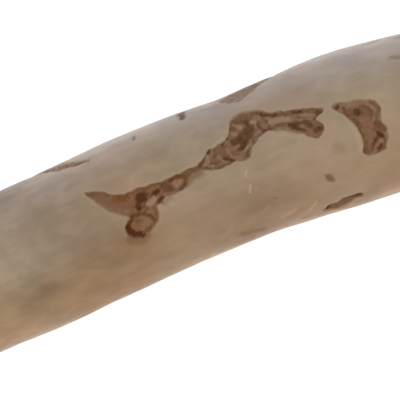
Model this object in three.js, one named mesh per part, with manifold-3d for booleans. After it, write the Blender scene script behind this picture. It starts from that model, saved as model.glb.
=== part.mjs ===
// A coffee wood chew stick: one length of coffee branch, stripped of its bark, sanded smooth
// and sawn flat at both ends. Brown bark stays only where it had grown into creases of the wood,
// so each crease is a shallow pocket in the skin. The branch lies on its side.
//
// Millimetres. +X runs along the branch, +Z is up, and the origin is on the surface that the
// branch rests on, under its middle. Places on the skin are given as they would be taken with a
// tape: along the branch from its middle, and around it from its crest line, positive towards +Y.
import * as THREE from "three";
import { mergeVertices } from "three/addons/utils/BufferGeometryUtils.js";
import Module from "manifold-3d";

// The branch as a whole, the rounding of its sawn edges, and how deep the flats under it are worn
const LENGTH = 185;
const MEAN_RADIUS = 17.9;
const EDGE_RADIUS = 2.4;
const FLAT_DEPTH = 0.5;

// The one sideways turn of the branch: how far, where, and over how long a stretch
const TURN = THREE.MathUtils.degToRad(8.3);
const TURN_AT = 16;
const TURN_REACH = 26;

// The middle line also sways a little, sideways and up: how far, how often, and from where
const SWAY = { by: 0.27, every: 57, from: 26 };
const RISE = { by: 0.7, every: 150, from: -20 };

// How finely the skin is divided
const ROWS = 56;
const COLUMNS = 36;
const EDGE_ROWS = 3;

// Stretches where the whole branch is thicker (by > 0) or thinner (by < 0)
const SWELLINGS = [
  { along: -82, by: 1.0, reach: 17 },
  { along: -42, by: 0.4, reach: 12 },
  { along: 13, by: -0.5, reach: 10 },
  { along: 39, by: 0.95, reach: 21 },
  { along: 88, by: -0.7, reach: 16 },
];

// Low oval swells on one side of the branch, where twigs had healed over
const HEALED_TWIGS = [
  { along: 30, around: -3, by: 0.8, long: 12, wide: 10 },
  { along: -80, around: 14, by: 1.2, long: 11, wide: 10 },
  { along: -76, around: -42, by: 1.0, long: 12, wide: 11 },
  { along: 34, around: 50, by: 0.9, long: 13, wide: 10 },
  { along: -22, around: -30, by: 0.7, long: 15, wide: 9 },
];

// The soft ribs that run along the branch and twist slowly round it
const RIBS = [
  { count: 2, by: 0.28, start: 0.6, twistOver: 900 },
  { count: 3, by: 0.26, start: 1.9, twistOver: 330 },
  { count: 5, by: 0.12, start: 0.3, twistOver: 210 },
];

// A pocket is this deep, and deeper by a share of its half width. Its floor rises towards its
// sides by a share of that depth.
const POCKET_DEPTH = 0.45;
const POCKET_DEPTH_SHARE = 0.32;
const POCKET_FLOOR_RISE = 0.6;
const POCKET_STEPS_PER_STATION = 2;
const POCKET_ACROSS = 4;

// The skin dips towards each crease, by this much and within this distance of it
const DIP = 0.45;
const DIP_REACH = 4.5;

// The creases where bark is left, each a run of stations: [along, around, half width]
const CREASES = {
  wedge: [
    [-26.6, 9.3, 0.3], [-24.4, 6.7, 1.2], [-21.5, 4.2, 2.1], [-18.5, 2.8, 2.5], [-15.5, 2.4, 2.4],
    [-12.5, 2.0, 2.4], [-10, 2.2, 2.0], [-7, 2.2, 2.1], [-4.5, 2.4, 1.9], [-2.2, 3.1, 1.2],
    [0, 3.9, 0.6],
  ],
  pocket: [
    [0, 3.9, 0.6], [2, 3.8, 1.0], [4.5, 4.3, 2.4], [7.5, 4.4, 2.7], [10.4, 5.2, 3.6],
    [13, 7.0, 4.3], [15.6, 8.6, 3.8], [18, 9.1, 3.1], [21, 8.4, 2.7], [23.6, 7.6, 2.3],
  ],
  upperFork: [[20, 10.5, 1.0], [25, 9.2, 0.8], [29, 8.0, 0.8], [33, 6.5, 0.5]],
  lowerFork: [[21.5, 6.6, 1.6], [25.4, 5.1, 1.5], [28.4, 3.4, 1.6], [30.4, 2.3, 1.8], [31.8, 1.5, 0.9]],
  eye: [[-20.4, -4.8, 0.9], [-18.6, -4.2, 2.3], [-16.2, -3.4, 2.7], [-14, -2.9, 2.2], [-12.4, -2.5, 1.0]],
  eyeNeck: [[-16.6, -3, 1.0], [-16.2, -0.6, 0.9], [-15.6, 1.8, 1.2]],
  hook: [
    [35.6, 6.5, 0.4], [38, 5.4, 1.0], [41, 3.7, 2.3], [43, 1.8, 2.9], [43.3, -0.6, 2.8],
    [43.5, -3.2, 3.0], [43.2, -5.7, 2.8], [42.9, -7.6, 1.6],
  ],
  lowSlit: [[26.6, -21.8, 0.7], [29, -21, 1.6], [32, -19.8, 1.5], [34.5, -19, 1.1], [36.2, -18.6, 0.4]],
  highSlit: [[-37, 23.5, 0.5], [-32, 22.6, 1.2], [-27.5, 21.2, 1.3], [-24, 20, 0.9], [-22, 19.3, 0.3]],
  shoulder: [
    [10.5, 23, 0.7], [13.5, 21.2, 2.1], [17, 21, 2.5], [20.5, 22.6, 2.2], [24, 25, 1.5],
    [29, 28.5, 1.1], [36, 31.5, 1.6], [43, 33, 0.5],
  ],
  farTop: [[60, 3, 0.4], [64, 1.2, 1.8], [69, 0.6, 2.4], [74, 2.2, 1.6], [78, 5, 0.5]],
  nearTop: [[-75, -7, 0.4], [-70.5, -3.4, 1.3], [-65, -2.2, 2.2], [-60, -3.8, 1.1], [-55, -4.2, 0.4]],
  back: [
    [-66, 36, 0.4], [-60, 38.4, 1.8], [-54, 38, 2.6], [-48, 36.4, 1.2], [-42, 35.6, 1.0],
    [-35, 36, 2.4], [-28, 38.4, 2.9], [-21, 38.6, 1.6], [-13, 40.4, 1.3], [-6, 40, 0.4],
  ],
  backFork: [[-31, 37, 1.2], [-26, 42, 1.8], [-20, 45, 1.6], [-14, 46.6, 0.4]],
  farBack: [[52, 35, 0.4], [58, 38, 1.5], [63, 41.4, 2.6], [69, 42.4, 1.7], [76, 46, 0.5]],
  front: [
    [-60, -33, 0.4], [-54, -32.6, 1.8], [-48, -33.6, 2.4], [-42, -34, 1.1], [-36, -36.6, 2.6],
    [-30, -39.5, 1.7], [-24, -40, 0.5],
  ],
  frontFork: [[-37, -36, 1.2], [-33, -34, 1.5], [-28, -33.4, 1.4], [-24, -34, 0.4]],
  farFront: [[50, -35, 0.4], [56, -33, 1.9], [62, -33.6, 1.2], [69, -36, 2.1], [74, -40, 0.5]],
  under: [[-10, -50, 0.4], [-4, -48.4, 1.5], [3, -48.6, 2.2], [9, -46, 1.0], [15, -45, 0.4]],
};

// A smooth bump that has faded to nothing at about twice its reach
const bump = (offset, reach) => Math.exp(-((offset / reach) ** 2));

const wave = (along, { by, every, from }) => by * Math.sin((2 * Math.PI * (along - from)) / every);

// How far one place around the branch is from another, the short way round
const GIRTH = 2 * Math.PI * MEAN_RADIUS;
const offsetAround = (a, b) => a - b - GIRTH * Math.round((a - b) / GIRTH);

// How far to the side the middle line lies: two straight legs joined by the turn, and the sway
function sideways(along) {
  return wave(along, SWAY) - Math.tan(TURN / 2) * Math.hypot(along - TURN_AT, TURN_REACH);
}

// The distance on the skin from a place to the line of a crease
function distanceToCrease(along, around, stations) {
  let nearest = Infinity;
  for (let i = 1; i < stations.length; i++) {
    const [fromAlong, fromAround] = stations[i - 1];
    const runAlong = stations[i][0] - fromAlong;
    const runAround = stations[i][1] - fromAround;
    const toAlong = along - fromAlong;
    const toAround = offsetAround(around, fromAround);
    const share = (toAlong * runAlong + toAround * runAround) / (runAlong ** 2 + runAround ** 2);
    const reached = THREE.MathUtils.clamp(share, 0, 1);
    nearest = Math.min(nearest, Math.hypot(toAlong - reached * runAlong, toAround - reached * runAround));
  }
  return nearest;
}

// The radius of the sanded skin at a place, before any pocket is cut
function skinRadius(along, around) {
  const angle = around / MEAN_RADIUS;
  let radius = MEAN_RADIUS;
  for (const s of SWELLINGS) radius += s.by * bump(along - s.along, s.reach);
  for (const t of HEALED_TWIGS) {
    radius += t.by * bump(along - t.along, t.long) * bump(offsetAround(around, t.around), t.wide);
  }
  for (const r of RIBS) {
    radius += r.by * Math.cos(r.count * angle + r.start + (2 * Math.PI * along) / r.twistOver);
  }
  const nearest = Math.min(...Object.values(CREASES).map((c) => distanceToCrease(along, around, c)));
  return radius - DIP * bump(nearest, DIP_REACH);
}

// The point at a radius under a place on the skin
function pointAt(along, around, radius) {
  const angle = around / MEAN_RADIUS;
  const y = sideways(along) + radius * Math.sin(angle);
  const z = wave(along, RISE) + radius * Math.cos(angle);
  return new THREE.Vector3(along, y, z);
}

// A closed geometry as a solid, and a solid as a geometry
const wasm = await Module();
wasm.setup();

function solidOf(geometry) {
  const bare = geometry.clone();
  bare.deleteAttribute("normal");
  bare.deleteAttribute("uv");
  const merged = mergeVertices(bare);
  return new wasm.Manifold(new wasm.Mesh({
    numProp: 3,
    vertProperties: new Float32Array(merged.attributes.position.array),
    triVerts: new Uint32Array(merged.index.array),
  }));
}

function geometryOf(solid) {
  const mesh = solid.getMesh();
  const geometry = new THREE.BufferGeometry();
  geometry.setAttribute("position", new THREE.BufferAttribute(mesh.vertProperties, 3));
  geometry.setIndex(new THREE.BufferAttribute(mesh.triVerts, 1));
  geometry.computeVertexNormals();
  return geometry;
}

// Moves each vertex of a geometry to where place(vertex) says
function reshape(geometry, place) {
  const position = geometry.attributes.position;
  const vertex = new THREE.Vector3();
  for (let i = 0; i < position.count; i++) {
    vertex.fromBufferAttribute(position, i);
    const moved = place(vertex);
    position.setXYZ(i, moved.x, moved.y, moved.z);
  }
  return geometry;
}

// The bare branch: a turned bar with rounded edges, then each point moved out to the real skin
function branch() {
  const straight = LENGTH / 2 - EDGE_RADIUS;
  const rounding = Array.from({ length: EDGE_ROWS }, (_, i) => {
    const angle = (Math.PI / 2) * (i / EDGE_ROWS);
    const inset = EDGE_RADIUS * (1 - Math.sin(angle));
    return [MEAN_RADIUS - inset, straight + EDGE_RADIUS * Math.cos(angle)];
  });
  const rows = Array.from({ length: ROWS + 1 }, (_, i) => [MEAN_RADIUS, straight * (1 - (2 * i) / ROWS)]);
  const profile = [
    [0, LENGTH / 2],
    ...rounding,
    ...rows,
    ...rounding.toReversed().map(([radius, along]) => [radius, -along]),
    [0, -LENGTH / 2],
  ].map(([radius, along]) => new THREE.Vector2(radius, along));
  return reshape(new THREE.LatheGeometry(profile, COLUMNS), (v) => {
    const around = MEAN_RADIUS * Math.atan2(v.x, v.z);
    const grown = skinRadius(v.y, around) / MEAN_RADIUS;
    return pointAt(v.y, around, Math.hypot(v.x, v.z) * grown);
  });
}

// What is taken out along one crease: a strip that follows it, with a rounded floor under the skin
// and its top well clear of the skin
function pocketCut(stations) {
  const ABOVE_SKIN = 2;
  const line = new THREE.CatmullRomCurve3(stations.map((s) => new THREE.Vector3(...s)));
  const steps = (stations.length - 1) * POCKET_STEPS_PER_STATION;
  const strip = new THREE.BoxGeometry(1, 1, 1, steps, POCKET_ACROSS, 1);
  return reshape(strip, (v) => {
    const share = THREE.MathUtils.clamp(v.x + 0.5, 0, 1);
    const middle = line.getPoint(share);
    const run = line.getTangent(share);
    const across = 2 * v.y * middle.z;
    const scale = across / Math.hypot(run.x, run.y);
    const along = middle.x - run.y * scale;
    const around = middle.y + run.x * scale;
    const fullDepth = POCKET_DEPTH + POCKET_DEPTH_SHARE * middle.z;
    const depth = fullDepth * (1 - POCKET_FLOOR_RISE * (2 * v.y) ** 2);
    return pointAt(along, around, skinRadius(along, around) + (v.z > 0 ? ABOVE_SKIN : -depth));
  });
}

// The half space over the surface that the branch rests on
function aboveSurface(box) {
  const MARGIN = 20;
  const size = box.getSize(new THREE.Vector3()).addScalar(MARGIN);
  const block = new THREE.BoxGeometry(size.x, size.y, size.z);
  block.translate((box.min.x + box.max.x) / 2, (box.min.y + box.max.y) / 2, size.z / 2);
  return block;
}

// The pockets are cut, the flats are worn into the underside where it rests, and the middle of the
// branch is brought over the origin
function chewStick() {
  let solid = solidOf(branch());
  for (const stations of Object.values(CREASES)) solid = solid.subtract(solidOf(pocketCut(stations)));

  const loose = geometryOf(solid);
  loose.computeBoundingBox();
  loose.translate(0, 0, -loose.boundingBox.min.z - FLAT_DEPTH);
  loose.computeBoundingBox();
  solid = solidOf(loose).intersect(solidOf(aboveSurface(loose.boundingBox)));

  const rested = geometryOf(solid);
  rested.computeBoundingBox();
  const middle = rested.boundingBox.getCenter(new THREE.Vector3());
  return rested.translate(-middle.x, -middle.y, 0);
}

const sandedWood = new THREE.MeshStandardMaterial({ color: "#a58c71", roughness: 0.55, metalness: 0 });
const stick = new THREE.Mesh(chewStick(), sandedWood);
stick.name = "chew_stick";

const part = new THREE.Group();
part.add(stick);

export default part;
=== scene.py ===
import bpy
import numpy as np
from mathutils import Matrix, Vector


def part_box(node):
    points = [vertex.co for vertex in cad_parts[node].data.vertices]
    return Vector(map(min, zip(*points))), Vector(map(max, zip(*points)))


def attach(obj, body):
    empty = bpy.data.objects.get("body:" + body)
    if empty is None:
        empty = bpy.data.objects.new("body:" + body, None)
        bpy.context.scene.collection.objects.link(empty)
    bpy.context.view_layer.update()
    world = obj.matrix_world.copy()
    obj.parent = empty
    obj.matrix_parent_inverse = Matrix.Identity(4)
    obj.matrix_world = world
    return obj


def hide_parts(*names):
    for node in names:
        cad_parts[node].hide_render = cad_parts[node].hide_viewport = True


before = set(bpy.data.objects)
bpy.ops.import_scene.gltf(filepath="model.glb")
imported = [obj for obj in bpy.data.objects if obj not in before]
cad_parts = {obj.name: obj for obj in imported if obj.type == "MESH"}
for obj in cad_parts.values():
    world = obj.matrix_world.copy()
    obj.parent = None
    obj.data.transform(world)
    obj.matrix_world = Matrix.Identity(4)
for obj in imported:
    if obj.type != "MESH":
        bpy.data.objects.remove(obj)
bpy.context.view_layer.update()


# The stick: one length of coffee branch, stripped of its bark, sanded smooth and sawn flat at both
# ends. Brown bark stays only where it had grown into creases of the wood, so each patch of it lies
# in a shallow pocket of the skin. It all grew as one piece, so it is one closed surface.
#
# A place on the skin is given as it would be taken with a tape, in millimetres: along the branch
# from its middle, and around it from its crest line, positive towards +Y.
MM = 0.001
LENGTH = 185
MEAN_RADIUS = 17.9
GIRTH = 2 * np.pi * MEAN_RADIUS
EDGE_RADIUS = 2.4
FLAT_DEPTH = 0.5

# The one sideways turn of the branch, and how its middle line sways to the side and up: how far,
# over what length, from where
TURN = np.radians(8.3)
TURN_AT = 16
TURN_REACH = 26
SWAY = (0.27, 57, 26)
RISE = (0.7, 150, -20)

# Stretches that are thicker or thinner: along, by, reach
SWELLINGS = [(-82, 1.0, 17), (-42, 0.4, 12), (13, -0.5, 10), (39, 0.95, 21), (88, -0.7, 16)]

# Low oval swells where twigs had healed over: along, around, by, long, wide
HEALED_TWIGS = [
    (30, -3, 0.8, 12, 10),
    (-80, 14, 1.2, 11, 10),
    (-76, -42, 1.0, 12, 11),
    (34, 50, 0.9, 13, 10),
    (-22, -30, 0.7, 15, 9),
]

# Soft ribs that twist slowly round the branch: count, by, start, one turn over
RIBS = [(2, 0.28, 0.6, 900), (3, 0.26, 1.9, 330), (5, 0.12, 0.3, 210)]

# The creases of the wood, each a run of stations: along, around, half width. The first ones lie on
# the crest, under the bark with a traced outline, and the others hold the rest of the bark.
TRACED_CREASES = {
    "wedge": [
        (-26.6, 9.3, 0.3), (-24.4, 6.7, 1.2), (-21.5, 4.2, 2.1), (-18.5, 2.8, 2.5), (-15.5, 2.4, 2.4),
        (-12.5, 2.0, 2.4), (-10, 2.2, 2.0), (-7, 2.2, 2.1), (-4.5, 2.4, 1.9), (-2.2, 3.1, 1.2),
        (0, 3.9, 0.6),
    ],
    "pocket": [
        (0, 3.9, 0.6), (2, 3.8, 1.0), (4.5, 4.3, 2.4), (7.5, 4.4, 2.7), (10.4, 5.2, 3.6),
        (13, 7.0, 4.3), (15.6, 8.6, 3.8), (18, 9.1, 3.1), (21, 8.4, 2.7), (23.6, 7.6, 2.3),
    ],
    "upper fork": [(20, 10.5, 1.0), (25, 9.2, 0.8), (29, 8.0, 0.8), (33, 6.5, 0.5)],
    "lower fork": [
        (21.5, 6.6, 1.6), (25.4, 5.1, 1.5), (28.4, 3.4, 1.6), (30.4, 2.3, 1.8), (31.8, 1.5, 0.9),
    ],
    "eye": [
        (-20.4, -4.8, 0.9), (-18.6, -4.2, 2.3), (-16.2, -3.4, 2.7), (-14, -2.9, 2.2),
        (-12.4, -2.5, 1.0),
    ],
    "eye neck": [(-16.6, -3, 1.0), (-16.2, -0.6, 0.9), (-15.6, 1.8, 1.2)],
    "hook": [
        (35.6, 6.5, 0.4), (38, 5.4, 1.0), (41, 3.7, 2.3), (43, 1.8, 2.9), (43.3, -0.6, 2.8),
        (43.5, -3.2, 3.0), (43.2, -5.7, 2.8), (42.9, -7.6, 1.6),
    ],
}
PLAIN_CREASES = {
    "low slit": [
        (26.6, -21.8, 0.7), (29, -21, 1.6), (32, -19.8, 1.5), (34.5, -19, 1.1), (36.2, -18.6, 0.4),
    ],
    "high slit": [
        (-37, 23.5, 0.5), (-32, 22.6, 1.2), (-27.5, 21.2, 1.3), (-24, 20, 0.9), (-22, 19.3, 0.3),
    ],
    "shoulder": [
        (10.5, 23, 0.7), (13.5, 21.2, 2.1), (17, 21, 2.5), (20.5, 22.6, 2.2), (24, 25, 1.5),
        (29, 28.5, 1.1), (36, 31.5, 1.6), (43, 33, 0.5),
    ],
    "far top": [(60, 3, 0.4), (64, 1.2, 1.8), (69, 0.6, 2.4), (74, 2.2, 1.6), (78, 5, 0.5)],
    "near top": [
        (-75, -7, 0.4), (-70.5, -3.4, 1.3), (-65, -2.2, 2.2), (-60, -3.8, 1.1), (-55, -4.2, 0.4),
    ],
    "back": [
        (-66, 36, 0.4), (-60, 38.4, 1.8), (-54, 38, 2.6), (-48, 36.4, 1.2), (-42, 35.6, 1.0),
        (-35, 36, 2.4), (-28, 38.4, 2.9), (-21, 38.6, 1.6), (-13, 40.4, 1.3), (-6, 40, 0.4),
    ],
    "back fork": [(-31, 37, 1.2), (-26, 42, 1.8), (-20, 45, 1.6), (-14, 46.6, 0.4)],
    "far back": [(52, 35, 0.4), (58, 38, 1.5), (63, 41.4, 2.6), (69, 42.4, 1.7), (76, 46, 0.5)],
    "front": [
        (-60, -33, 0.4), (-54, -32.6, 1.8), (-48, -33.6, 2.4), (-42, -34, 1.1), (-36, -36.6, 2.6),
        (-30, -39.5, 1.7), (-24, -40, 0.5),
    ],
    "front fork": [(-37, -36, 1.2), (-33, -34, 1.5), (-28, -33.4, 1.4), (-24, -34, 0.4)],
    "far front": [(50, -35, 0.4), (56, -33, 1.9), (62, -33.6, 1.2), (69, -36, 2.1), (74, -40, 0.5)],
    "under": [(-10, -50, 0.4), (-4, -48.4, 1.5), (3, -48.6, 2.2), (9, -46, 1.0), (15, -45, 0.4)],
}

# How far the wood dips along a crease, and how far out that reaches
DIP = 0.45
DIP_REACH = 4.5


def bump(offset, reach):
    """A smooth hump: e to the power of minus the square of offset over reach."""
    return np.exp(-((offset / reach) ** 2))


def step(value, low, high):
    """Nothing below low, one above high, and between them the cubic that is level at both ends."""
    share = np.clip((value - low) / (high - low), 0, 1)
    return share * share * (3 - 2 * share)


def wave(along, by, every, start):
    """A sine along the branch: its height times the sine of a full turn over each repeat."""
    return by * np.sin(2 * np.pi * (along - start) / every)


def sideways(along):
    """How far to the side the middle line lies: one branch of a hyperbola, and the sway."""
    return wave(along, *SWAY) - np.tan(TURN / 2) * np.hypot(along - TURN_AT, TURN_REACH)


def short_way(offset):
    """An offset around the branch, less the whole girths in it."""
    return offset - GIRTH * np.round(offset / GIRTH)


def feet(along, around, line):
    """Each place is dropped square onto each straight piece of a line, and kept between its ends.
    Gives the distance to there, and the share of the piece that lies before it."""
    line = np.asarray(line, float)
    run = np.diff(line[:, :2], axis=0)
    to_along = along[..., None] - line[:-1, 0]
    to_around = short_way(around[..., None] - line[:-1, 1])
    share = (to_along * run[:, 0] + to_around * run[:, 1]) / np.maximum((run**2).sum(axis=1), 1e-9)
    share = np.clip(share, 0, 1)
    return np.hypot(to_along - share * run[:, 0], to_around - share * run[:, 1]), share


def skin_radius(along, around):
    """The radius of the sanded wood: the mean, plus a hump for each swelling and healed twig, plus
    cosines that twist along the branch, less a hump along the nearest crease."""
    angle = around / MEAN_RADIUS
    radius = np.full(np.shape(along), MEAN_RADIUS)
    for at, by, reach in SWELLINGS:
        radius += by * bump(along - at, reach)
    for at, side, by, long, wide in HEALED_TWIGS:
        radius += by * bump(along - at, long) * bump(short_way(around - side), wide)
    for count, by, start, turn_over in RIBS:
        radius += by * np.cos(count * angle + start + 2 * np.pi * along / turn_over)
    creases = [*TRACED_CREASES.values(), *PLAIN_CREASES.values()]
    nearest = np.min([feet(along, around, c)[0].min(axis=-1) for c in creases], axis=0)
    return radius - DIP * bump(nearest, DIP_REACH)


def ripple(grown, size, seed, waves=40):
    """Smooth random relief, mostly between -1 and 1: the sum of plain sine waves that run in random
    directions through the straightened branch, each about `size` long."""
    rng = np.random.default_rng(seed)
    heading = rng.normal(size=(3, waves))
    heading *= 2 * np.pi / (size * rng.uniform(0.7, 1.4, waves) * np.linalg.norm(heading, axis=0))
    return np.sin(grown @ heading + rng.uniform(0, 2 * np.pi, waves)).sum(axis=-1) / np.sqrt(waves)


# How the surface is divided: places are close together where the bark is finest, wider elsewhere
CAP_ROWS = 18
EDGE_ROWS = 5
SKIN_ROWS = 410
COLUMNS = 206


def spread(first, last, count, fine, stretch, ease):
    """Places from first to last, as many as count: equal steps of a sum that grows faster inside a
    stretch, by the number fine, with an ease on both sides of it."""
    at = np.linspace(first, last, 4000)
    start, end = stretch
    inside = step(at, start - ease, start) * step(-at, -end - ease, -end)
    pace = 1 + (fine - 1) * inside
    total = np.concatenate([[0], np.cumsum((pace[1:] + pace[:-1]) / 2)])
    return np.interp(np.linspace(0, total[-1], count), total, at)


straight = LENGTH / 2 - EDGE_RADIUS
skin_along = spread(-straight, straight, SKIN_ROWS, fine=2.7, stretch=(-28, 47), ease=8)
column_around = spread(-GIRTH / 2, GIRTH / 2, COLUMNS + 1, fine=2.4, stretch=(-9, 14), ease=6)[:-1]

# Each row runs round the branch: where it is along it, and its share of the radius there. The cap
# rows lie on the sawn ends, the edge rows on their rounded edges, and the skin rows between them.
cap_share = np.arange(1, CAP_ROWS + 1) / CAP_ROWS * (1 - EDGE_RADIUS / MEAN_RADIUS)
edge_angle = np.radians(90) * np.arange(1, EDGE_ROWS + 1) / (EDGE_ROWS + 1)
edge_share = 1 - EDGE_RADIUS / MEAN_RADIUS * (1 - np.sin(edge_angle))
end_along = np.concatenate([np.full(CAP_ROWS, LENGTH / 2), straight + EDGE_RADIUS * np.cos(edge_angle)])
end_share = np.concatenate([cap_share, edge_share])
row_along = np.concatenate([-end_along, skin_along, end_along[::-1]])
row_share = np.concatenate([end_share, np.ones(SKIN_ROWS), end_share[::-1]])
rows = len(row_along)

along, around = (g.ravel() for g in np.meshgrid(row_along, column_around, indexing="ij"))
share = np.repeat(row_share, COLUMNS)
angle = around / MEAN_RADIUS
out = share * MEAN_RADIUS

# The same places on the branch as if it had grown straight and round
grown = np.stack([along, out * np.sin(angle), out * np.cos(angle)], axis=1)

# The bark that shows on the crest, as two outlines: the long one, with its eye, and the hook
LONG_OUTLINE = [
    (-26.5, 9.7), (-25, 9.3), (-23.2, 8.3), (-21.9, 7.4), (-21.1, 6.3), (-20, 5.6), (-18.6, 5),
    (-16.8, 4.7), (-14, 4.6), (-11, 4.3), (-8.6, 4), (-7.1, 4), (-5.9, 4.1), (-4.8, 4.2), (-3.6, 4.1),
    (-2.4, 4.5), (-0.4, 4.3), (1, 4.6), (2.3, 5.2), (3.4, 6), (4.2, 7), (4.9, 7.5), (5.8, 7.2),
    (7.2, 7.5), (8.7, 8), (10, 9), (10.9, 10.2), (11.5, 11.6), (12.1, 12.9), (13.2, 13.7), (14.8, 14),
    (16.4, 13.6), (18.2, 12.9), (19.4, 12.4), (20.3, 11.3), (22, 10.3), (24.9, 9.3), (28, 8.3),
    (31, 7.2), (33.3, 6.2), (33.2, 5.5), (32.2, 5), (31.1, 4.4), (31.1, 3.6), (32, 2.5), (31.9, 1.4),
    (31.1, 0.5), (29.8, 0), (28.6, 0.4), (27.4, 1.4), (26, 2.5), (23.7, 3.9), (21.8, 5.1), (19.8, 5.8),
    (17.8, 5.8), (16.3, 5), (15.3, 4.2), (14.4, 3.3), (13.7, 2.2), (12.7, 1.5), (11.4, 1.3), (9.6, 1.9),
    (8, 1.7), (6, 1.5), (4, 1.8), (2.4, 2.5), (0.8, 2.9), (-0.8, 2.8), (-1.9, 2.1), (-2.7, 1.2),
    (-3.8, 0.4), (-6.7, -0.1), (-8.8, 0), (-9.7, -0.9), (-10.7, -0.9), (-11.6, -1.4), (-11.4, -2.6),
    (-11.8, -3.9), (-13.1, -5.1), (-15.1, -6.3), (-17.2, -6.9), (-19.1, -6.3), (-20.2, -4.8),
    (-20.3, -3.1), (-19.4, -1.9), (-18.5, -1.3), (-18.6, -0.6), (-20, 0.3), (-21.4, 1.4), (-22.6, 2.7),
    (-24.1, 5), (-25.2, 7), (-26.3, 9),
]
HOOK_OUTLINE = [
    (35.4, 5.9), (36.6, 6.3), (38.2, 5.9), (39.6, 5.5), (41.2, 5.6), (43.2, 5.1), (44.9, 4.4),
    (45.8, 3.2), (46, 2.2), (45.6, 0.9), (45.2, -0.4), (45, -1.2), (45.6, -2.1), (45.7, -3.2),
    (45.3, -4.6), (44.8, -5.8), (44.2, -6.9), (43.2, -7.6), (41.4, -7.7), (39.6, -7.6), (38.7, -7),
    (38.6, -6), (39.2, -4.8), (39.3, -3), (39.3, -1.6), (38.8, 0.2), (37.8, 2), (36.9, 3.6),
    (35.6, 4.9),
]

# The rest of the bark that shows from above, as runs of stations: each patch lies a little to one
# side of the bottom of its crease
SIDE_BARK = {
    "low slit": [
        (26.6, -20.8, 1.2), (28.4, -20.6, 2.2), (30.4, -19.9, 2.2), (32.2, -19.2, 1.9),
        (33.4, -19, 1.6), (34.5, -19, 1.2), (35.2, -19.1, 0.4),
    ],
    "high slit": [
        (-38, 29, 0.6), (-34, 26.8, 1.0), (-32.5, 25.4, 1.2), (-30.7, 24.1, 1.4), (-29.2, 23.1, 1.5),
        (-27.9, 22.4, 1.5), (-26.4, 21.6, 1.3), (-25, 20.9, 1.1), (-23, 20.1, 0.5),
    ],
    "shoulder": [
        (11.8, 23.6, 0.4), (12.6, 23.6, 0.8), (14, 23.4, 2.1), (15, 23.2, 3.3), (16.4, 23.2, 4.0),
        (17.6, 24, 3.5), (19.2, 25, 2.8), (21, 25.4, 2.8), (23, 25.8, 2.4), (24.5, 27, 1.4),
        (26, 28.6, 0.6),
    ],
}

# In every other crease, and where one runs on from the shoulder, the bark just fills it
SHOULDER_TAIL = [(24, 28, 0.6), (26.5, 29, 1.3), (29, 29.2, 1.2), (36, 31.5, 1.8), (43, 33, 0.5)]
FILLED_CREASES = [stations for name, stations in PLAIN_CREASES.items() if name not in SIDE_BARK]
FILLED_CREASES.append(SHOULDER_TAIL)


def rounded(outline, steps=5):
    """A closed smooth line through the points: over each span, the cubic whose slope at a point is
    half the way from the point before it to the point after it."""
    here = np.asarray(outline, float)
    before = np.roll(here, 1, axis=0)
    there = np.roll(here, -1, axis=0)
    after = np.roll(here, -2, axis=0)
    t = (np.arange(steps) / steps)[:, None, None]
    curve = 2 * here + (there - before) * t
    curve = curve + (2 * before - 5 * here + 4 * there - after) * t**2
    curve = curve + (3 * here - before - 3 * there + after) * t**3
    return (curve / 2).transpose(1, 0, 2).reshape(-1, 2)


def inside_outline(along, around, outline):
    """How far inside a closed outline each place is, and below zero outside it: the distance to the
    nearest side, inside where a line straight on along the branch crosses it an odd number of times."""
    ring = np.vstack([outline, outline[:1]])
    distance = feet(along, around, ring)[0].min(axis=-1)
    start = ring[:-1].T
    end = ring[1:].T
    rise = np.where(end[1] == start[1], 1, end[1] - start[1])
    spans = (start[1] > around[:, None]) != (end[1] > around[:, None])
    crossing = start[0] + (around[:, None] - start[1]) * (end[0] - start[0]) / rise
    odd = (spans & (crossing > along[:, None])).sum(axis=1) % 2
    return np.where(odd == 1, distance, -distance)


def inside_strip(along, around, stations):
    """How far inside a strip each place is: the half width at its foot on the line, less its
    distance from there, and the best of all pieces of the line."""
    distance, before = feet(along, around, stations)
    half = np.asarray(stations, float)[:, 2]
    return (half[:-1] + np.diff(half) * before - distance).max(axis=-1)


# How far in from the edge of the bark each place is, below zero on bare wood. The edges waver: on
# the traced patches least, on the others the more the wider they are, and in slow swings on the rest.
BARE = -9.0
WAVER_LENGTH = 2.6
TRACED_WAVER = 0.12
TRACED_ALONG = (-32, 51)
TRACED_AROUND = (-14, 20)
SIDE_WAVER = 0.35
SIDE_SWING = 0.45
SIDE_DRAWN_BACK = 0.15
FULL_WAVER_HALF = 2.9
FILLED_WIDER = 0.25
FILLED_WAVER = 0.12
FILLED_SWING = 0.5
waver = np.stack([ripple(grown, WAVER_LENGTH, 11), ripple(grown, WAVER_LENGTH, 12)])
bark = np.full(along.shape, BARE)
near_traced = (along > TRACED_ALONG[0]) & (along < TRACED_ALONG[1])
near_traced &= (around > TRACED_AROUND[0]) & (around < TRACED_AROUND[1])
shaken = (np.stack([along, around]) + TRACED_WAVER * waver)[:, near_traced]
for outline in (LONG_OUTLINE, HOOK_OUTLINE):
    bark[near_traced] = np.maximum(bark[near_traced], inside_outline(*shaken, rounded(outline)))
ragged = SIDE_WAVER * waver[0] + SIDE_SWING * ripple(grown, 5.5, 13) - SIDE_DRAWN_BACK
for stations in SIDE_BARK.values():
    raggedness = min(1, max(half for _, _, half in stations) / FULL_WAVER_HALF)
    bark = np.maximum(bark, inside_strip(along, around, stations) + raggedness * ragged)
filled = np.max([inside_strip(along, around, stations) for stations in FILLED_CREASES], axis=0)
filled += FILLED_WIDER + FILLED_WAVER * waver[0] + FILLED_SWING * ripple(grown, 7, 16)
in_filled = filled > bark
bark = np.where(share < 1, BARE, np.maximum(bark, filled))

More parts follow.
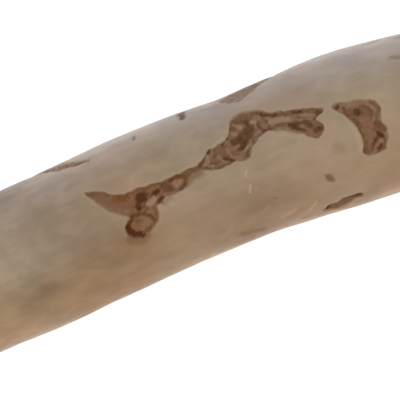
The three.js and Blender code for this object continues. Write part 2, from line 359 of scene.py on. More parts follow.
# What shows on the bark: -1 is the dark of its cracks and 1 the pale of its worn ridges, and a tone
# past -1 stays that dark under the grit too. Each stroke is a tone, a half width and its line.
BARK_STROKES = [
    # Wedge: smooth, darker along its upper edge, with a dark core at its thick end
    (-0.05, 3.0, [(-25, 7.5), (-20, 3.6), (-16.5, 2.6)]),
    (0.1, 0.9, [(-24.4, 5), (-22.3, 2.6), (-20, 1), (-18.4, 0.2)]),
    (-0.25, 0.5, [(-26, 9.1), (-23.6, 7.8), (-21.6, 6.2)]),
    (-0.35, 1.0, [(-19.8, 4.7), (-17.6, 3.8)]),
    (-0.2, 0.4, [(-20.4, 5.3), (-18, 4.6), (-15.6, 4.3)]),
    (-0.35, 0.4, [(-15.6, 4.3), (-12.8, 4.1), (-8.7, 3.7)]),
    (-1.0, 1.3, [(-14.4, 2.5), (-13.6, 2.2)]),
    (-0.95, 0.7, [(-15, 1.4), (-15.6, 0.7), (-15.4, 0)]),
    # Ribbon: dark spots and a block between pale places, one of them an islet in a dark loop
    (-0.4, 0.5, [(-12.4, 1.9), (-11.2, 1.9)]),
    (-1.0, 0.55, [(-11.2, 1.8), (-9.9, 2.2)]),
    (0.9, 0.9, [(-12.9, 0.1), (-12.1, 0.4), (-11.5, 0.6)]),
    (-0.85, 0.55, [(-10.6, -0.4), (-9.4, 0.3)]),
    (-0.6, 1.3, [(-8, 2.5), (-7.3, 1.6)]),
    (0.15, 0.4, [(-9, 0.9), (-7.6, 0.4), (-6, 0.3)]),
    (0.55, 0.95, [(-5.4, 2.1), (-4.7, 2.3)]),
    (-0.65, 0.5, [(-6.4, 3.3), (-5, 3.8), (-3.6, 3.5), (-2.8, 2.8)]),
    (-0.55, 0.45, [(-2.8, 2.8), (-2.6, 2), (-3.1, 1.3)]),
    (-0.6, 0.4, [(-3.1, 1.2), (-4.8, 0.6)]),
    (-0.35, 0.7, [(-2.2, 3.7), (-0.4, 3.7), (1.2, 4.1)]),
    (-0.7, 0.5, [(1.5, 4.4), (2.1, 4.9), (3, 5.5)]),
    # Eye: a ring that is darkest at the lower left, round a paler middle, and a small loop beside it
    (0.25, 2.0, [(-17, -3.3), (-15.4, -3.7)]),
    (-0.1, 0.8, [(-17, -2.8), (-16.1, -3.2)]),
    (-0.6, 0.6, [(-17.2, -1.3), (-15.2, -1.5), (-13.8, -2.8), (-12.9, -3.9)]),
    (-0.75, 0.5, [(-17.2, -1.2), (-19.2, -2.4)]),
    (-1.25, 0.65, [(-19.6, -2.8), (-19.5, -4.3), (-18.5, -5.6), (-16.8, -6.1)]),
    (-0.35, 0.4, [(-16.6, -5.9), (-14.8, -5.5), (-13.4, -4.6)]),
    (0.35, 0.5, [(-13.6, -1.8), (-12.7, -1.8)]),
    (-0.2, 0.4, [(-12, -1.5), (-11.9, -2.7), (-12.4, -3.8)]),
    # Left lobe of the pocket: pale streaks between brown patches, and a dark notch
    (-0.25, 1.3, [(6, 6.5), (7, 6)]),
    (-0.5, 0.4, [(3, 5.6), (4.1, 6.7)]),
    (-0.85, 0.4, [(4.4, 6.8), (4.8, 7.2)]),
    (0.6, 0.45, [(2.6, 3.9), (3.4, 4.4), (4, 5.8)]),
    (0.35, 0.4, [(5.2, 6.9), (5.3, 6)]),
    (-0.45, 0.45, [(5.2, 5.2), (5.9, 5.7)]),
    (-0.5, 0.4, [(4.3, 3.7), (5.4, 3.3)]),
    (-0.45, 0.4, [(2.3, 3.1), (3.8, 2.6)]),
    (0.3, 0.4, [(3.6, 3.3), (5.8, 2.5)]),
    (-0.5, 0.4, [(4.8, 2.1), (6.6, 2.1)]),
    (0.3, 0.45, [(6.4, 4.9), (7, 3.3)]),
    (-0.35, 0.8, [(7.8, 4.4), (8.2, 3.6)]),
    (-0.85, 0.55, [(7.7, 3.8), (8.3, 3.1), (9.2, 2.4)]),
    (0.3, 0.4, [(8.9, 5.8), (9, 4.5), (9.5, 3.3), (10.4, 2.4), (11.6, 2.1)]),
    # Pocket: a large dark core, and broken lines that follow the edge
    (-0.45, 0.4, [(12.2, 12.6), (11.4, 11), (10.5, 9.5)]),
    (-0.75, 0.4, [(9.3, 8.5), (10, 8.8)]),
    (-0.75, 0.4, [(8, 7.6), (8.5, 7.7)]),
    (0.6, 0.75, [(12.7, 11.9), (13.2, 11.2), (13.3, 10.6)]),
    (0.45, 0.55, [(11.4, 9.5), (12, 8.8)]),
    (-0.35, 0.8, [(12.8, 12.7), (15, 12.5), (17.4, 12)]),
    (-0.5, 0.5, [(13.2, 12), (14.8, 11.8)]),
    (-0.75, 0.6, [(15.1, 11.6), (15.4, 10.9)]),
    (-0.8, 0.9, [(10.9, 7.2), (12.4, 7)]),
    (-0.8, 1.7, [(12.9, 7), (14, 7.6)]),
    (-0.7, 1.2, [(14, 7.8), (15.5, 9.2)]),
    (-0.8, 0.7, [(11.6, 4.7), (12.9, 5.3)]),
    (0.3, 0.4, [(11.1, 5.7), (11.6, 5.9)]),
    (0.5, 0.4, [(12.6, 3.8), (14, 4.5)]),
    (-0.5, 0.45, [(12.9, 2.3), (13.3, 3.1)]),
    (0.8, 0.6, [(16.6, 10.7), (17.1, 10.4)]),
    (0.3, 0.6, [(17.7, 11.4), (18.5, 10.7)]),
    (0.4, 0.4, [(17.2, 9.7), (17.3, 8.5), (17.8, 7)]),
    (-0.55, 0.4, [(17.9, 9.9), (17.8, 8.4), (18.5, 7.2), (19.2, 6.8)]),
    (-0.45, 0.4, [(19.6, 9.3), (20.1, 8.2), (19.8, 7)]),
    (0.15, 0.5, [(18.9, 9), (19.1, 7.9)]),
    (-0.8, 0.4, [(18.6, 6.8), (20, 6.4)]),
    # Forks: a broken dark line along the upper one, a dark knot in the lower one, tan between them
    (0.7, 0.9, [(20.8, 8.4), (24.6, 7.2)]),
    (-0.45, 0.45, [(22, 6.8), (24.4, 6.2)]),
    (0.3, 0.5, [(21.3, 5.8), (24.6, 4.3)]),
    (-0.85, 0.4, [(19.2, 11.9), (19.7, 10.7)]),
    (-0.75, 0.4, [(19.9, 10.7), (21.4, 10.1), (23, 9.2)]),
    (-0.4, 0.4, [(23, 9.2), (25.2, 8.3)]),
    (-0.35, 0.6, [(25.8, 8.4), (28.6, 7.5), (32, 6.2)]),
    (-0.95, 0.4, [(26.6, 8.1), (28.2, 7.5)]),
    (-0.85, 0.5, [(31.8, 6), (32.4, 5.7)]),
    (-0.7, 0.4, [(31.9, 5.7), (31, 4.9), (30.4, 4.4)]),
    (0.5, 0.4, [(27.8, 6.8), (29.4, 6.2), (31, 5.5)]),
    (0.35, 0.45, [(29.2, 5.3), (30, 4.9)]),
    (-0.05, 1.8, [(28.8, 2.8), (30.2, 1.9)]),
    (-0.8, 0.6, [(28.5, 4.6), (29.2, 3.2)]),
    (-0.8, 0.7, [(30, 2), (30.9, 1.9)]),
    (-1.0, 0.65, [(24.9, 5.5), (25.6, 5), (26.4, 5)]),
    (-0.75, 0.5, [(26.4, 5.2), (28.4, 4.9)]),
    (-0.85, 0.5, [(25.2, 4.3), (26.4, 3.8), (27.4, 2.8)]),
    (0.2, 0.5, [(27, 4.2), (27.4, 3.8)]),
    # Hook: greyer at its tip, ochre in the middle, dark spots and a dark seam near its far edge
    (0.3, 1.4, [(37, 5), (41.5, 4.7)]),
    (-0.85, 0.45, [(36.3, 5.2), (36.7, 5.4)]),
    (-0.6, 0.4, [(37.9, 4.6), (38, 3.9)]),
    (-0.3, 1.0, [(39, 3.2), (41.6, 2.2), (43.2, 1.7)]),
    (-0.85, 0.75, [(40.5, 3.2), (40.7, 2.4)]),
    (-0.45, 0.45, [(41.6, 3.9), (43.2, 3.2), (44.2, 1.8)]),
    (0.45, 0.4, [(43, 4.2), (44.2, 3), (44.7, 1.7)]),
    (-0.2, 0.45, [(44.8, 3.4), (45.5, 2.3), (45.3, 1.3)]),
    (0.1, 1.2, [(42, 0.2), (41.6, -1.6), (41.2, -3.4)]),
    (-0.5, 0.5, [(39.2, 1.3), (39.8, 0)]),
    (-0.4, 0.45, [(39.7, -1.2), (39.8, -3.6)]),
    (-0.45, 0.9, [(43.9, -1.5), (44.9, -2.8)]),
    (-1.0, 0.65, [(43.5, -3.7), (44, -4.4)]),
    (-0.75, 0.4, [(42.8, -4.6), (41.4, -5.9)]),
    (0.4, 0.4, [(43.7, -5.4), (42.6, -6.2)]),
    (-0.8, 0.45, [(43.2, -6.4), (42.4, -7.1)]),
    (-0.35, 0.8, [(39.4, -6), (39.3, -6.7)]),
    # Shoulder and slits: worn nearly away, darkest at their ends
    (-0.3, 4.4, [(12, 22.5), (16, 23), (20, 26), (26, 28.5)]),
    (-0.5, 1.2, [(15, 20.6), (17.4, 19.6)]),
    (-0.6, 0.8, [(18, 20), (18.8, 21.6)]),
    (-0.7, 1.2, [(19.6, 23.4), (21.4, 23.6), (23.6, 24.6)]),
    (-0.15, 2.2, [(28, -20.6), (31, -19.7), (32.6, -19.2)]),
    (-0.8, 0.6, [(26.6, -20), (26.6, -21.4)]),
    (-0.8, 0.7, [(31.2, -18.8), (32.2, -18.8)]),
    (-0.8, 0.9, [(33.7, -18.5), (34.6, -19)]),
    (-0.45, 1.2, [(-33, 25.8), (-29, 23), (-24.2, 20.6)]),
    (-0.6, 0.7, [(-29.6, 23.1), (-27.4, 22), (-25, 20.9)]),
]

# Where the bark was sanded so thin that its edge fades out: how thin, a half width and the line
THIN_STROKES = [
    (0.5, 1.2, [(-25, 7), (-22.6, 2.7), (-20, 0.3), (-18.5, -1)]),
    (0.7, 1.0, [(-2.2, 1.6), (-0.6, 2.8), (2, 2.6)]),
    (0.5, 1.0, [(19.8, 5.8), (23.7, 3.9), (26.2, 2.4)]),
    (0.5, 1.0, [(12.4, 13.2), (14.8, 14), (19, 12.6)]),
    (0.5, 1.0, [(35.4, 6), (39.6, 5.5), (44, 5)]),
    (0.5, 1.2, [(-11.8, -2.2), (-12.8, -4.8), (-15.2, -6.2)]),
    (0.4, 1.2, [(45.2, -0.4), (45.7, -3), (44.4, -6.6)]),
    (0.85, 6.0, [(10, 22.5), (18, 23), (24, 28)]),
    (0.7, 2.5, [(-27.5, 22.2), (-25, 20.9), (-22.5, 20)]),
    (0.9, 3.0, [(-38, 29), (-32.5, 25.5), (-29.5, 23.2)]),
    (0.3, 2.5, [(27, -20), (32, -19), (35, -18.6)]),
]

# Broad patches, each with its middle along and around, by how much, how long and how wide: lighter
# above zero and darker below. Most are where the wood is bleached or dulled; those noted are painted
# rim highlight along the upper and lower edges.
SHADES = [
    (-34, 6, -0.4, 13, 13),
    (-49, 8, 0.7, 8, 9),
    (-20, -5, -0.6, 13, 9),
    # painted rim highlight, lower edge
    (-50, -22, 1.3, 9, 6),
    # painted rim highlight, upper edge
    (-34, 21, 0.6, 8, 6),
    (-10, -5, 0.5, 6, 5),
    (14, -8, -0.3, 9, 8),
    (-46, -11, -0.5, 6, 5),
    (-23, 9, 0.35, 10, 6),
    (-10, -18, 0.3, 8, 6),
    (-49, 21, -1.0, 11, 8),
    # painted rim highlight, upper edge
    (-20, 25, 1.2, 15, 7),
    (22, 2, 0.15, 30, 14),
    (10, -12, -0.3, 17, 6),
    # painted rim highlight, upper edge
    (44, 21, 0.75, 18, 12),
    (45, 4, 0.3, 10, 9),
    (33, -8, 0.35, 18, 9),
    (52, -40, -0.6, 22, 14),
    (-60, 44, -0.7, 25, 12),
    (-8, -38, 0.6, 28, 12),
    (70, 12, -0.5, 14, 16),
    (-74, -14, 0.6, 14, 14),
    (10, 48, 0.5, 20, 14),
    (0, 10, 0.4, 4, 4),
    (-22, 0, 0.2, 4, 4),
    (-42.6, -8, -0.75, 3.6, 2.4),
    (33.2, -3.8, -0.3, 1.6, 1.4),
    (10.5, -10.2, -0.35, 3, 2.5),
    # painted rim highlight, lower edge near the thick end
    (-56.5, -15, 0.8, 4, 4),
    # painted rim highlight, upper edge
    (-4, 23.2, 0.6, 7, 3.5),
    # painted rim highlight, upper edge
    (53.5, 20.5, 0.6, 6, 4),
    # painted rim highlight, upper edge
    (31.5, 21.5, 0.5, 4, 3),
    # painted rim highlight, lower edge
    (44, -21, 0.6, 4, 3),
    (11.2, 20.6, -0.7, 4.5, 2.6),
    (29.3, 12.8, -0.55, 4, 4),
    (32.2, -22.3, -0.5, 4, 2),
    (-24, 17, -0.5, 4.5, 3),
    (-21.5, -22, -0.5, 5, 2.5),
    (-7, 12.2, -0.45, 5, 2.5),
    (45, 14, -0.35, 4, 3),
    (-4.5, 17, 0.45, 5, 3),
    (46, 19.4, -0.45, 4, 3.5),
    (20.3, -20.7, 0.5, 3, 2),
    (36.4, -18.4, -0.4, 2.5, 2),
    (27, -2.8, -0.3, 3, 3),
]

# Where the inner bark is redder
REDDENED = [
    (-18.4, 4.3, 0.8, 2.4, 1.1),
    (-4.2, 3.4, 0.8, 1.7, 0.9),
    (-18.2, -5, 0.6, 2, 1.6),
    (-16, 1, 0.35, 11, 7),
    (41.5, -1, 0.2, 4, 5),
]

# Where the wood is yellower, or below zero bluer; the one noted is the cool tint of a painted rim
# highlight
YELLOWED = [
    (-20, 8, 1.0, 9, 8),
    (-46, -6, -1.0, 9, 8),
    (-9, -18, -0.9, 8, 7),
    (22, 12, 0.5, 10, 5),
    (-24, -19, 0.9, 9, 4),
    # cool tint of the painted rim highlight, lower edge
    (-48, -22, -1.0, 8, 5),
    (4, -22, -0.7, 16, 4),
    (42, 18, -0.6, 9, 6),
    (14, -13, 0.4, 9, 5),
    (56, -10, 0.5, 12, 12),
    (-70, 20, -0.6, 12, 14),
    (0, 50, 0.6, 25, 12),
    (-1, 1.8, 1.0, 2.5, 1.5),
    (-18, -7.2, 1.0, 3.5, 2),
    (-34, -22, 0.6, 5, 4),
    (32, -22.5, 0.7, 5, 2.5),
]

# What shows on the bare wood: pin knots and smudges are dark, below zero, and scratches and rubbed
# places pale. The strokes noted are painted highlight, on the rims of bark pockets and near the upper
# edge.
WOOD_STROKES = [
    (-0.3, 1.1, [(28.9, -8.9), (29.2, -9.8)]),
    (-0.72, 0.65, [(28.9, -9), (29.2, -9.8)]),
    (-1.2, 1.0, [(1.7, 20.6), (1.8, 24)]),
    (-0.7, 0.5, [(-11.2, 19.4), (-11, 20.8)]),
    (-0.14, 2.6, [(-44.8, -7.2), (-42.6, -8.2), (-40.8, -9.3)]),
    (-0.28, 1.1, [(-43.2, -6.9), (-42.4, -7.4)]),
    (-0.25, 1.5, [(32.8, -3.2), (34.2, -4.2)]),
    (-0.3, 0.5, [(15.3, -9.9), (15.8, -9.9)]),
    (-0.6, 1.1, [(-2.6, 1.3), (-1, 2.1), (1.2, 2.4)]),
    (-0.2, 3.4, [(-22, -5.6), (-18.4, -7.6), (-15, -7.6)]),
    (-0.65, 1.3, [(-20, -6), (-18.6, -6.6), (-16.4, -6.7)]),
    (-1.1, 0.7, [(11.7, 22.2), (11.9, 23.2)]),
    (-0.15, 1.4, [(-8.8, 13.1), (-7.6, 13.1)]),
    (0.5, 0.5, [(11.3, -1.2), (11, -2.5)]),
    (0.6, 0.5, [(10.8, -4.9), (10.3, -6.3)]),
    (0.4, 0.45, [(12.1, -5.7), (12.1, -6.3)]),
    (0.5, 0.8, [(24.3, -15.5), (20.6, -19)]),
    (0.45, 0.8, [(19.3, -15.5), (15.6, -16.8)]),
    (-0.15, 0.8, [(20.5, -15.8), (17.5, -18.5)]),
    (-0.22, 2.4, [(4.6, -17.4), (8.2, -18.6), (12, -19.8)]),
    (-0.55, 1.0, [(5.6, -17.7), (8, -18.5), (10.2, -19.4)]),
    (0.3, 1.1, [(-0.7, -16.7), (3.2, -13.5)]),
    (0.3, 0.9, [(10.7, -12.8), (13.3, -11.7)]),
    (0.22, 1.4, [(5.5, -14.3), (8.8, -13.9)]),
    (-0.2, 1.5, [(36.2, -19.2), (38.5, -18.8)]),
    (-0.32, 2.2, [(21, -21.4), (25, -22.4), (30, -22.2)]),
    (-0.12, 1.8, [(27.8, 18.6), (29.2, 21.5)]),
    (0.35, 0.7, [(37.2, 1.1), (38.2, -0.9), (38.6, -3.2), (38.0, -5.6)]),
    # Painted highlight on the rim below the forks' bark
    (0.35, 0.6, [(20, 4.6), (23.2, 3.1), (25.6, 1.7)]),
    (-0.4, 0.7, [(52.6, 13.7), (55.4, 13.1)]),
    (-0.4, 0.8, [(47.6, 22.2), (51.6, 23.2)]),
    (-0.35, 1.4, [(55.8, 22.2), (59, 22.8)]),
    # Painted highlight between the high slit and the upper edge
    (0.75, 1.5, [(-27, 25.2), (-23.6, 23), (-19, 22)]),
    # Painted highlight on the rim above the pocket's left lobe
    (0.35, 0.6, [(6, 7.9), (7.4, 8.3), (8.8, 8.9)]),
    (-0.35, 0.8, [(-9.8, -1), (-7.6, -0.7)]),
    (-0.22, 1.3, [(13.4, 19.6), (15.5, 18.2), (18.4, 18)]),
    (-0.2, 1.5, [(6, -20.4), (10, -21.2)]),
    (0.45, 1.2, [(-37, 24.4), (-34.5, 23.8), (-32.4, 22.8)]),
]


def drawn(base, strokes, shaken, full=0.6, gone=1.3):
    """The base values with each stroke laid over them in turn: fully within one share of its half
    width, not at all past another, and eased between. Each place is shifted a little first."""
    value = base
    for tone, half, line in strokes:
        distance = feet(along + shaken[0], around + shaken[1], line)[0].min(axis=-1)
        value = value + (tone - value) * (1 - step(distance, full * half, gone * half))
    return value


def humps(patches):
    """The sum of a hump for each patch: its height times one hump along and one around."""
    return sum(by * bump(along - at, long) * bump(short_way(around - side), wide)
               for at, side, by, long, wide in patches)


# The bark has layers that run round inside its edge, soft spots, and a dark line along the bottom of
# its crease. Where it fills one it is paler at the edge, in spots drawn out along the branch.
LAYER = 1.15
LAYER_TONE = 0.22
SPOT_TONE = 0.25
BOTTOM_LINE = (-0.75, 0.5)
FILLED_EDGE_TONE = 0.2
FILLED_DARKENS = 0.5
FILLED_SPOT_TONE = 0.3
FILLED_BOTTOM_LINE = (-0.65, 0.8)
layered = np.sin(2 * np.pi * bark / LAYER + 1.6 * ripple(grown, 4.5, 21))
bark_tone = LAYER_TONE * layered + SPOT_TONE * ripple(grown, 1.9, 22) - 0.05
bottoms = [(*BOTTOM_LINE, stations) for stations in SIDE_BARK.values()]
bark_tone = drawn(bark_tone, bottoms, 0.7 * waver)
filled_tone = FILLED_EDGE_TONE - FILLED_DARKENS * step(bark, 0.8, 2.0)
filled_tone = filled_tone + FILLED_SPOT_TONE * ripple(grown * [0.5, 1, 1], 4.5, 17)
bottoms = [(*FILLED_BOTTOM_LINE, stations) for stations in FILLED_CREASES]
filled_tone = drawn(filled_tone, bottoms, 0.4 * waver)
bark_tone = np.where(in_filled, filled_tone, bark_tone)
finer = np.stack([ripple(grown, 1.1, 14), ripple(grown, 1.1, 15)])
bark_tone = drawn(bark_tone, BARK_STROKES, 0.08 * (waver + finer))
wood_tone = drawn(0, WOOD_STROKES, 0.25 * waver, full=0.1, gone=1.6)
thinness = drawn(0, THIN_STROKES, 0.3 * waver)

# How far each place is below the skin's radius. A little is sanded off everywhere. The bark lies
# lower: a small step at its edge, then a slow fall to the middle of the patch, with cracks and ridges
# in it. Beside it the wood is a little rounded over. Dents are let in, and scratches stand up.
SANDED_OFF = 0.05
BARK_STEP = 0.32
BARK_FALL = 0.24
FALL_ENDS = 3.2
CRACK_DEPTH = 0.2
CRUMBLING = 0.35
ROUNDED_OVER = 0.06
UNEVENNESS = 0.045
FINE_UNEVENNESS = 0.02
DENT_DEPTH = 0.16
SCRATCH_RISE = 0.03
fall = BARK_STEP * step(bark, -0.05 - 0.5 * thinness, 0.4 + 0.6 * thinness) * (1 - 0.5 * thinness)
fall += BARK_FALL * np.clip(bark, 0, FALL_ENDS)
crumbled = bark_tone + CRUMBLING * ripple(grown, 0.9, 23) * ~in_filled
ridges = CRACK_DEPTH * crumbled * step(bark, -0.1, 0.15)
rounded_over = ROUNDED_OVER * bump(np.minimum(bark, 0), 0.8)
unevenness = UNEVENNESS * ripple(grown, 11, 24) + FINE_UNEVENNESS * ripple(grown, 4, 25)
dents = DENT_DEPTH * np.clip(-wood_tone - 0.4, 0, 1) - SCRATCH_RISE * np.clip(wood_tone, 0, 1)
lowered = SANDED_OFF + fall - ridges + rounded_over - unevenness + dents

# The sawn ends: a pith that has shrunk, and a few drying checks that curve out from it and end before
# the rim. For each end, the angle of every check, where it starts and stops, and how wide it is.
PITH_RADIUS = 1.1
PITH_DEPTH = 0.35
CHECK_DEPTH = 0.7
CHECK_SWAY = 0.25
LEVEL_RIM = (0.8, 0.87)
CHECKS = {
    -1: [(0.7, 1.5, 9.5, 0.22), (2.6, 1, 6.5, 0.16), (4.4, 2, 12, 0.25)],
    1: [(1.9, 1, 8, 0.2), (3.5, 2, 11, 0.22), (5.6, 1.5, 5.5, 0.15)],
}
sunk = PITH_DEPTH * bump(out, PITH_RADIUS)
for end, checks in CHECKS.items():
    for heading, start, stop, wide in checks:
        past = (angle - heading + np.pi) % (2 * np.pi) - np.pi
        off = np.abs(out * past + CHECK_SWAY * np.sin(1.3 * out))
        reach = step(out, start - 1, start) * step(-out, -stop, 1 - stop)
        sunk += np.where(np.sign(along) == end, CHECK_DEPTH * bump(off, wide) * reach, 0)
sawn = np.repeat(np.abs(row_along) > LENGTH / 2 - 1e-6, COLUMNS)
sunk = np.where(sawn, sunk * step(-share, -LEVEL_RIM[1], -LEVEL_RIM[0]), 0)


def lay(along, around, share, lowered, sunk):
    """The point for a place: out from the middle line by the radius there, at the angle that the
    place is around the branch, with the ends let in along it."""
    radius = share * (skin_radius(along, around) - lowered)
    angle = around / MEAN_RADIUS
    y = sideways(along) + radius * np.sin(angle)
    z = wave(along, *RISE) + radius * np.cos(angle)
    return np.stack([along - np.sign(along) * sunk, y, z], axis=1)


skin = lay(along, around, share, lowered, sunk)
ends = np.array([-LENGTH / 2, LENGTH / 2])
nought = np.zeros(2)
poles = lay(ends, nought, nought, nought, nought + PITH_DEPTH)
points = np.vstack([poles[:1], skin, poles[1:]])

# It rests on two small flats worn into its underside. Its box is set over the middle of its solid's,
# and drawn in along any side on which it would be the larger of the two.
points[:, 2] -= points[:, 2].min() + FLAT_DEPTH
points[:, 2] = np.maximum(points[:, 2], 0)
low = points.min(axis=0)
high = points.max(axis=0)
solid_low, solid_high = (np.array(corner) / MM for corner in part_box("chew_stick"))
drawn_in = np.minimum(1, (solid_high - solid_low) / (high - low))
in_plan = np.array([1, 1, 0])
middle = (low + high) / 2 * in_plan
points = (points - middle) * drawn_in + (solid_low + solid_high) / 2 * in_plan


def tube_faces(rows, columns):
    """The quads between neighbouring rows and columns, and a fan of triangles to the pole at each
    end. Corners run so that the faces point outwards. Gives each corner's point, and its row and
    column before wrapping, with row -1 and row `rows` for the poles."""
    i, j = (g.ravel() for g in np.meshgrid(np.arange(rows - 1), np.arange(columns), indexing="ij"))
    quad_rows = np.stack([i, i + 1, i + 1, i], axis=1)
    quad_columns = np.stack([j, j, j + 1, j + 1], axis=1)
    j = np.arange(columns)
    fan_rows = np.repeat([[-1, 0, 0], [rows, rows - 1, rows - 1]], columns, axis=0)
    fan_columns = np.vstack([np.stack([j, j, j + 1], axis=1), np.stack([j, j + 1, j], axis=1)])
    corner_rows = np.concatenate([quad_rows.ravel(), fan_rows.ravel()])
    corner_columns = np.concatenate([quad_columns.ravel(), fan_columns.ravel()])
    corners = 1 + corner_rows * columns + corner_columns % columns
    corners = np.where(corner_rows < 0, 0, np.where(corner_rows == rows, 1 + rows * columns, corners))
    sizes = np.concatenate([np.full(len(quad_rows), 4), np.full(len(fan_rows), 3)])
    return corners, sizes, corner_rows, corner_columns


corners, sizes, corner_rows, corner_columns = tube_faces(rows, COLUMNS)
mesh = bpy.data.meshes.new("chew_stick_dressed")
mesh.vertices.add(len(points))
mesh.vertices.foreach_set("co", (points * MM).ravel())
mesh.loops.add(len(corners))
mesh.loops.foreach_set("vertex_index", corners.astype(np.int32))
mesh.polygons.add(len(sizes))
mesh.polygons.foreach_set("loop_start", (np.cumsum(sizes) - sizes).astype(np.int32))
mesh.polygons.foreach_set("loop_total", sizes.astype(np.int32))
mesh.update(calc_edges=True)
mesh.shade_smooth()


def note(name, values, kind="FLOAT"):
    """Keeps one value for each point on the mesh. Each pole gets the mean of the row next to it."""
    values = np.asarray(values, float)
    first = values[:COLUMNS].mean(axis=0)
    last = values[-COLUMNS:].mean(axis=0)
    layer = mesh.attributes.new(name, kind, "POINT")
    field = "vector" if kind == "FLOAT_VECTOR" else "value"
    layer.data.foreach_set(field, np.concatenate([[first], values, [last]]).ravel())


# The sanding reaches in over this share of the rounded edge, and the saw's cut shows inside it
SANDED_EDGE = 0.6
note("grown", grown, "FLOAT_VECTOR")
note("bark", np.clip(bark, -6, 6))
note("bark tone", bark_tone)
note("filled", in_filled)
note("wood tone", wood_tone)
note("wood shade", humps(SHADES))
note("redness", humps(REDDENED))
note("yellowing", humps(YELLOWED))
note("thinness", thinness)
note("sawn", share < 1 - SANDED_EDGE * EDGE_RADIUS / MEAN_RADIUS)

# Its map: the skin unrolled over the lower part, a row of the map for each row of the surface, and
# the two sawn ends as discs above it
SKIN_TOP = 0.77
DISC_RADIUS = 0.1
DISC_HEIGHT = 0.885
NEAR_DISC_AT = 0.2
FAR_DISC_AT = 0.6
first_skin = CAP_ROWS - 1
last_skin = rows - CAP_ROWS
face_of_corner = np.repeat(np.arange(len(sizes)), sizes)
face_start = np.cumsum(sizes) - sizes
outermost_row = np.maximum.reduceat(corner_rows, face_start)[face_of_corner]
innermost_row = np.minimum.reduceat(corner_rows, face_start)[face_of_corner]
near_disc = outermost_row <= first_skin
far_disc = innermost_row >= last_skin
turned = 2 * np.pi * corner_columns / COLUMNS
from_centre = np.where(near_disc, corner_rows + 1, rows - corner_rows) / CAP_ROWS * DISC_RADIUS
across = (corner_rows - first_skin) / (last_skin - first_skin)
map_u = np.where(near_disc, NEAR_DISC_AT + from_centre * np.cos(turned), across)
map_u = np.where(far_disc, FAR_DISC_AT + from_centre * np.cos(turned), map_u)
map_v = np.where(near_disc | far_disc, DISC_HEIGHT + from_centre * np.sin(turned),
                 SKIN_TOP * corner_columns / COLUMNS)
mesh.uv_layers.new(name="OFBake").data.foreach_set("uv", np.stack([map_u, map_v], axis=1).ravel())

stick = bpy.data.objects.new("chew_stick_dressed", mesh)
bpy.context.scene.collection.objects.link(stick)

# Its finish is mostly the wood itself: pale tan with olive and pinkish clouds, faint grain along it,
# and a satin rub from the sanding, with painted reflection, light, shade and rim highlight laid over
# its sides and edges. The bark is brown and dull, darkest in its cracks.
finish = bpy.data.materials.new("sanded coffee wood with bark")
finish.use_nodes = True
links = finish.node_tree.links
surface = finish.node_tree.nodes["Principled BSDF"]


def node(kind, inputs=None, tree=finish.node_tree, **settings):
    """A node in a tree, with its settings, and its inputs by name or number: a number or colour is
    set, and another node's output is linked."""
    made = tree.nodes.new("ShaderNode" + kind)
    for name, value in settings.items():
        setattr(made, name, value)
    for name, value in (inputs or {}).items():
        if isinstance(value, bpy.types.NodeSocket):
            tree.links.new(value, made.inputs[name])
        else:
            made.inputs[name].default_value = value
    return made


def kept(name, output="Fac"):
    """What the mesh keeps under that name."""
    return node("Attribute", attribute_name=name).outputs[output]


def sum_of(a, b, by=1.0):
    """a plus b times a number."""
    return node("Math", {0: b, 1: by, 2: a}, operation="MULTIPLY_ADD").outputs[0]


def product(a, b):
    """a times b."""
    return node("Math", {0: a, 1: b}, operation="MULTIPLY").outputs[0]


def sine_of(a):
    """The sine of a, in radians."""
    return node("Math", {0: a}, operation="SINE").outputs[0]


def eased(value, low, high, start=0.0, end=1.0):
    """start where the value is under low, end where it is over high, and eased between."""
    between = {"Value": value, "From Min": low, "From Max": high, "To Min": start, "To Max": end}
    return node("MapRange", between, interpolation_type="SMOOTHSTEP").outputs[0]


def clouds(size, detail=2.0, stretch=(1, 1, 1), shift=0.0, roughness=0.5):
    """Soft noise through the straightened branch, in lumps about `size` millimetres across."""
    placing = {"Vector": kept("grown", "Vector"), "Scale": stretch, "Location": (shift,) * 3}
    place = node("Mapping", placing).outputs[0]
    noise = {"Vector": place, "Scale": 1 / size, "Detail": detail, "Roughness": roughness}
    return node("TexNoise", noise).outputs["Fac"]


def blended(fac, a, b, how="MIX"):
    """Colour a turned into colour b by a factor. Inputs 0, 6 and 7 are the factor and the colours."""
    return node("Mix", {0: fac, 6: a, 7: b}, data_type="RGBA", blend_type=how).outputs[2]


def ramp(fac, stops):
    """A colour from a scale of colours, each at its value."""
    scale = node("ValToRGB", {"Fac": fac})
    elements = scale.color_ramp.elements
    while len(elements) < len(stops):
        elements.new(0.5)
    for element, (at, colour) in zip(elements, stops):
        element.position = at
        element.color = (*colour, 1)
    return scale.outputs["Color"]


# The wood's colour turns from olive to pinkish in clouds. Its far side is greyer, and its near side
# rosy towards the thin end, amber towards the thick one and brownish low down: partly the wood's own
# colour, partly painted cool reflection on the far side and painted warm light and shade on the near
# one. Its sides at middle height are painted paler, a rim highlight, less towards the thick end.
TAN = (0.372, 0.268, 0.158, 1)
OLIVE = (0.335, 0.250, 0.146, 1)
PINKISH = (0.400, 0.272, 0.176, 1)
GREY = (0.385, 0.300, 0.234, 1)
ROSY = (0.374, 0.262, 0.168, 1)
AMBER = (0.382, 0.254, 0.140, 1)
BROWNISH = (0.350, 0.214, 0.110, 1)
PALE_WEAR_AND_HIGHLIGHT = (0.56, 0.45, 0.34, 1)
grown_place = node("SeparateXYZ", {0: kept("grown", "Vector")})
side = sum_of(grown_place.outputs[1], sum_of(clouds(16, shift=90), -0.5), 14)
level = sum_of(grown_place.outputs[2], sum_of(clouds(12, shift=170), -0.5), 16)
thick_end = eased(grown_place.outputs[0], 5, -30)
wood = blended(eased(clouds(17), 0.38, 0.62), TAN, OLIVE)
